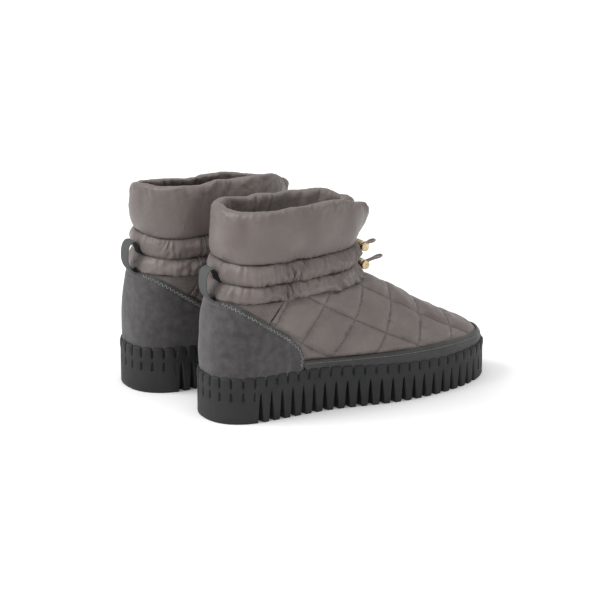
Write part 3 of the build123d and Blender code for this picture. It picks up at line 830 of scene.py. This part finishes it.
def brushed_suede(looks, name, light):
    """Brushed suede: a matt nap with mottled patches, and painted shade darkening it along its edges."""
    material, tree, shader, place = new_material(name, Roughness=0.95, Specular_IOR_Level=0.2,
                                                 Sheen_Weight=0.22, Sheen_Roughness=0.6)
    patches = mottle(tree, place, 7, looks.suede_dark, light, 6.0)
    nap = grains(tree, place, 0.9, 3.0)
    fine = colour_mix(tree, nap, colour(looks.suede_dark), patches)
    dress(tree, shader, shade_painted_at_seams(tree, fine, looks.suede_edge_shadow), (nap, 0.5, 0.35))
    return material


def moulded_rubber(looks):
    """Moulded rubber: matt black-grey with a fine spark-eroded grain from the mould."""
    material, tree, shader, place = new_material("moulded_rubber", Roughness=0.62, Specular_IOR_Level=0.35)
    base = mottle(tree, place, 15, looks.rubber_dark, looks.rubber_light)
    dress(tree, shader, base, (grains(tree, place, 0.8), 0.25, 0.15))
    return material


def grosgrain(name, dark, light):
    """Grosgrain webbing: cross ribs 1.1 mm apart."""
    material, tree, shader, place = new_material(name, Roughness=0.85, Specular_IOR_Level=0.2)
    ribs = waves(tree, place, 1.1, "Z", 0.3)
    dress(tree, shader, colour_mix(tree, ribs, colour(dark), colour(light)), (ribs, 0.4, 0.25))
    return material


def braided_elastic(looks):
    """Round braided elastic cord: crossing strands about 0.8 mm wide in two shades."""
    material, tree, shader, place = new_material("braided_elastic", Roughness=0.75, Sheen_Weight=0.2)
    strands = waves(tree, place, 0.8, "DIAGONAL", 3.0)
    shades = colour_mix(tree, strands, colour(looks.cord_dark), colour(looks.cord_light))
    dress(tree, shader, shades, (strands, 0.5, 0.25))
    return material


def plated_zinc(looks):
    """Zinc die casting with a pale gold plate: bright, with faint handling marks in its roughness."""
    material, tree, shader, place = new_material("pale_gold_plate", Metallic=1.0)
    dress(tree, shader, mottle(tree, place, 4, looks.gold_dark, looks.gold_light))
    marks = grains(tree, place, 1.5, 4.0)
    rough = add_node(tree, "ShaderNodeMapRange", {"Value": marks, "To Min": 0.2, "To Max": 0.38}).outputs[0]
    tree.links.new(rough, shader.inputs["Roughness"])
    return material


def plain_stuff(name, dark, light, size_mm, roughness, metallic=0.0):
    """Hidden inner material: two shades in grains of size_mm, with a matching bump."""
    material, tree, shader, place = new_material(name, Roughness=roughness, Metallic=metallic)
    dress(tree, shader, mottle(tree, place, size_mm, dark, light), (grains(tree, place, size_mm), 0.3, 0.3))
    return material


def shade(name, value):
    """A colour, kept as sRGB hex."""
    return bpy.props.StringProperty(name=name, description=f"{name} shade, as sRGB hex", default=value)


class BootLooks(bpy.types.PropertyGroup):
    """Colours of the boots' materials, and of the shade painted into their seams, grooves and edges, as sRGB
    hex.
    """
    nylon_dark: shade("Nylon, dark", "#5f5653")
    nylon_light: shade("Nylon, light", "#6e6561")
    # Painted shade: the dark that the nylon is mixed towards in its seams, quilting grooves and rib valleys.
    nylon_painted_shade: shade("Nylon seam shadow", "#241f1e")
    suede_dark: shade("Suede, dark", "#363434")
    suede_light: shade("Suede, light", "#595656")
    rand_light: shade("Rand, light", "#434243")
    # Painted shade along the suede's edges.
    suede_edge_shadow: shade("Suede edge shadow", "#2b302e")
    rubber_dark: shade("Rubber, dark", "#1d1e1e")
    rubber_light: shade("Rubber, light", "#272727")
    cord_dark: shade("Cord, dark", "#4b4241")
    cord_light: shade("Cord, light", "#9b8f8c")
    gold_dark: shade("Gold, dark", "#a58e68")
    gold_light: shade("Gold, light", "#d3c3a2")


class BootStage(bpy.types.PropertyGroup):
    """Camera and light."""
    azimuth: bpy.props.FloatProperty(name="Azimuth", description="Camera's turn round the boots",
                                     default=math.radians(60.0), subtype="ANGLE")
    elevation: bpy.props.FloatProperty(name="Elevation", description="Camera's height as an angle",
                                       default=math.radians(17.2), subtype="ANGLE")
    distance: bpy.props.FloatProperty(name="Distance", description="From the camera to its target",
                                      default=2.5, subtype="DISTANCE", unit="LENGTH")
    lens: bpy.props.FloatProperty(name="Lens", description="Focal length in millimetres", default=172.35)


def looks():
    """The colours in use."""
    return bpy.context.scene.boot_looks


def nylon():
    """The satin nylon, made on first use."""
    return bpy.data.materials.get("satin_nylon") or satin_nylon(looks())


def elastic():
    """The cords' elastic, made on first use."""
    return bpy.data.materials.get("braided_elastic") or braided_elastic(looks())


TARGET = (0.0, 96.27, 91.64)       # what the camera looks at, in the right boot's frame
SENSOR, FLOOR_HALF, SKY = 36.0, 6.0, 0.62
# Large soft lights, each as (turn round the boots, height, width as an angle, strength).
LAMPS = {"key": (-22.0, 42.0, 40.0, 2.0), "top": (120.0, 74.0, 70.0, 1.2)}


class BOOTS_OT_stage(bpy.types.Operator):
    """Add the camera, the floor and the studio light"""
    bl_idname = "boots.stage"
    bl_label = "Stage"

    def execute(self, context):
        stage = context.scene.boot_stage
        a, e = stage.azimuth, stage.elevation
        back = np.array([math.sin(a) * math.cos(e), -math.cos(a) * math.cos(e), math.sin(e)])
        camera = new_object("camera", bpy.data.cameras.new("camera"))
        camera.data.lens, camera.data.sensor_width = stage.lens, SENSOR
        camera.location = placed(np.array(TARGET), "right") + back * stage.distance
        camera.rotation_euler = (math.pi / 2 - e, 0, a)
        context.scene.camera = camera
        floor = bpy.data.meshes.new("floor")
        corners = [(x * FLOOR_HALF, y * FLOOR_HALF, 0) for x, y in ((-1, -1), (1, -1), (1, 1), (-1, 1))]
        floor.from_pydata(corners, [], [(0, 1, 2, 3)])
        paint, tree, shader, place = new_material("matt_paint", Roughness=0.9)
        dress(tree, shader, mottle(tree, place, 400, "#f6f6f6", "#fafafa"))
        floor.materials.append(paint)
        new_object("floor", floor)
        world = bpy.data.worlds.new("studio")
        world.use_nodes = True
        sky = world.node_tree.nodes["Background"].inputs
        sky["Color"].default_value, sky["Strength"].default_value = (1, 1, 1, 1), SKY
        context.scene.world = world
        for name, (turn, height, width, power) in LAMPS.items():
            lamp = new_object(name, bpy.data.lights.new(name, "SUN"))
            lamp.data.energy, lamp.data.angle = power, math.radians(width)
            lamp.rotation_euler = (math.radians(90 - height), 0, math.radians(turn))
        context.scene.view_settings.view_transform = "Standard"
        return {"FINISHED"}


class BOOTS_OT_cords(bpy.types.Operator):
    """Add the free drawcord loops"""
    bl_idname = "boots.cords"
    bl_label = "Drawcord loops"

    def execute(self, context):
        for place, (turn, straight, tip, length) in LOOPS.items():
            route = np.array(loop_route(WINDOWS[place], turn, straight, tip))
            for side in SIDES:
                points = placed(route, side)
                curve = bpy.data.curves.new(f"{side}_{place}_loop_cord", "CURVE")
                curve.dimensions = "3D"
                spline = curve.splines.new("NURBS")
                spline.points.add(len(points) - 1)
                spline.points.foreach_set("co", np.column_stack([points, np.ones(len(points))]).ravel())
                spline.order_u = 3
                spline.use_endpoint_u = True
                spline.resolution_u = 8
                curve.bevel_depth, curve.bevel_resolution = CORD_WIDTH / 2 * MM, 4
                curve.use_fill_caps = True
                curve.materials.append(elastic())
                piece = new_object(f"{side}_{place}_loop_cord", curve)
                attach(piece, f"{side}_boot")
                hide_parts(f"{side}_{place}_cord_loop")
        return {"FINISHED"}


class BOOTS_OT_soles(bpy.types.Operator):
    """Add the ribbed cup soles"""
    bl_idname = "boots.soles"
    bl_label = "Cup soles"

    def execute(self, context):
        rubber = moulded_rubber(looks())
        add_piece("cup_sole", outsole_shape(), [rubber], ["outsole"])
        return {"FINISHED"}


class BOOTS_OT_uppers(bpy.types.Operator):
    """Add the quilted vamps and the ankle panels"""
    bl_idname = "boots.uppers"
    bl_label = "Quilted uppers"

    def execute(self, context):
        shape, seam = vamp_shape()
        for piece in add_piece("quilted_vamp", shape, [nylon()], ["vamp_shell"], seam, SHELL_WALL):
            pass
        shape, seam = ankle_shape()
        twill = ribbed_twill(looks())
        add_piece("ankle_twill", shape, [twill], ["ankle_panel"], seam, TWILL_WALL)
        return {"FINISHED"}


class BOOTS_OT_suede(bpy.types.Operator):
    """Add the suede counters and rands, and their stitching"""
    bl_idname = "boots.suede"
    bl_label = "Suede trim"

    def execute(self, context):
        shades = looks()
        for name, make, node, light in (("suede_counter", counter_shape, "heel_counter", shades.suede_light),
                                        ("suede_rand", rand_shape, "rand", shades.rand_light)):
            shape, seam = make()
            add_piece(name, shape, [brushed_suede(shades, f"{name}_hide", light)], [node], seam,
                      SUEDE_WALL)
        thread = plain_stuff("bonded_thread", "#6b726f", "#969d99", 2.2, 0.7)
        add_piece("trim_stitching", stitch_shapes(), [thread], merge=False)
        return {"FINISHED"}


class BOOTS_OT_collars(bpy.types.Operator):
    """Add the cord channels and the split cuffs"""
    bl_idname = "boots.collars"
    bl_label = "Channels and cuffs"

    def execute(self, context):
        bands = {"lower": (COUNTER_TOP, CHANNEL_SEAM, 61), "upper": (CHANNEL_SEAM, CUFF_SEAM, 81)}
        for place, (low, high, seed) in bands.items():
            shape, seam = channel_shape(low, high, WINDOWS[place], seed)
            for piece in add_piece(f"{place}_band", shape, [nylon()], [f"{place}_channel"], seam):
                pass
        for side in SIDES:
            shape, seam = cuff_shape(side)
            for piece in add_piece("padded_cuff", shape, [nylon()], ["cuff"], seam, sides=[side]):
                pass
        return {"FINISHED"}


class BOOTS_OT_tabs(bpy.types.Operator):
    """Add the pull tabs"""
    bl_idname = "boots.tabs"
    bl_label = "Pull tabs"

    def execute(self, context):
        shape, inner = tab_shape()
        # The inner face is drawn near-black, as painted shade inside the loop.
        faces = [grosgrain("grey_grosgrain", "#464847", "#5b5d5c"),
                 grosgrain("painted_shade_grosgrain", "#111111", "#1c1c1c")]
        add_piece("heel_loop", shape, faces, ["pull_tab"], paint=inner)
        return {"FINISHED"}


class BOOTS_OT_insides(bpy.types.Operator):
    """Add the lining and the footbed, and finish the pieces kept from the frame"""
    bl_idname = "boots.insides"
    bl_label = "Insides and hardware"

    def execute(self, context):
        fleece = plain_stuff("brushed_lining", "#4a4341", "#6a625f", 3.0, 0.9)
        add_piece("lining_sleeve", lining_shape(), [fleece], ["lining"],
                  thickness=LINING_WALL)
        add_piece("foam_footbed", filled_outline(FOOTBED), [fleece], ["footbed"])
        kept = {
            "midsole_filler": plain_stuff("blown_foam", "#a9aaa6", "#c4c4bf", 1.2, 0.9),
            "shank": plain_stuff("spring_steel", "#8b8c8e", "#a3a4a6", 6.0, 0.35, 1.0),
            "insole_board": plain_stuff("fibre_board", "#a58a68", "#bb9f7b", 2.0, 0.85),
            "heel_stiffener": plain_stuff("stiffener_sheet", "#c6c0b0", "#d5cfc0", 3.0, 0.6),
            "toe_puff": plain_stuff("puff_sheet", "#c2bcac", "#d1cbbc", 3.0, 0.6),
            "vamp_wadding": plain_stuff("polyester_wadding", "#dedcd8", "#efedea", 1.5, 0.95),
        }
        gold = plated_zinc(looks())
        for place in WINDOWS:
            kept.update({f"{place}_lock_body": gold, f"{place}_lock_plunger": gold,
                         f"{place}_lock_spring": kept["shank"], f"{place}_drawcord": elastic()})
        for side in SIDES:
            for node, finish in kept.items():
                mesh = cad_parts[f"{side}_{node}"].data
                mesh.materials.clear()
                mesh.materials.append(finish)
        return {"FINISHED"}


class BOOTS_PT_panel(bpy.types.Panel):
    """Lists the steps and the looks"""
    bl_idname = "BOOTS_PT_panel"
    bl_label = "Padded deck boots"
    bl_space_type = "VIEW_3D"
    bl_region_type = "UI"
    bl_category = "Boots"

    def draw(self, context):
        for step in STEPS:
            self.layout.operator(step.bl_idname)
        for group in (context.scene.boot_looks, context.scene.boot_stage):
            for key in group.__annotations__:
                self.layout.prop(group, key)


STEPS = [BOOTS_OT_stage, BOOTS_OT_cords, BOOTS_OT_soles, BOOTS_OT_uppers, BOOTS_OT_suede, BOOTS_OT_collars,
         BOOTS_OT_tabs, BOOTS_OT_insides]
CLASSES = [BootLooks, BootStage, *STEPS, BOOTS_PT_panel]


def register():
    for one in CLASSES:
        bpy.utils.register_class(one)
    bpy.types.Scene.boot_looks = bpy.props.PointerProperty(type=BootLooks)
    bpy.types.Scene.boot_stage = bpy.props.PointerProperty(type=BootStage)


def unregister():
    del bpy.types.Scene.boot_looks, bpy.types.Scene.boot_stage
    for one in reversed(CLASSES):
        bpy.utils.unregister_class(one)


def main():
    register()
    for step in STEPS:
        group, name = step.bl_idname.split(".")
        getattr(getattr(bpy.ops, group), name)()


if __name__ == "__main__":
    main()
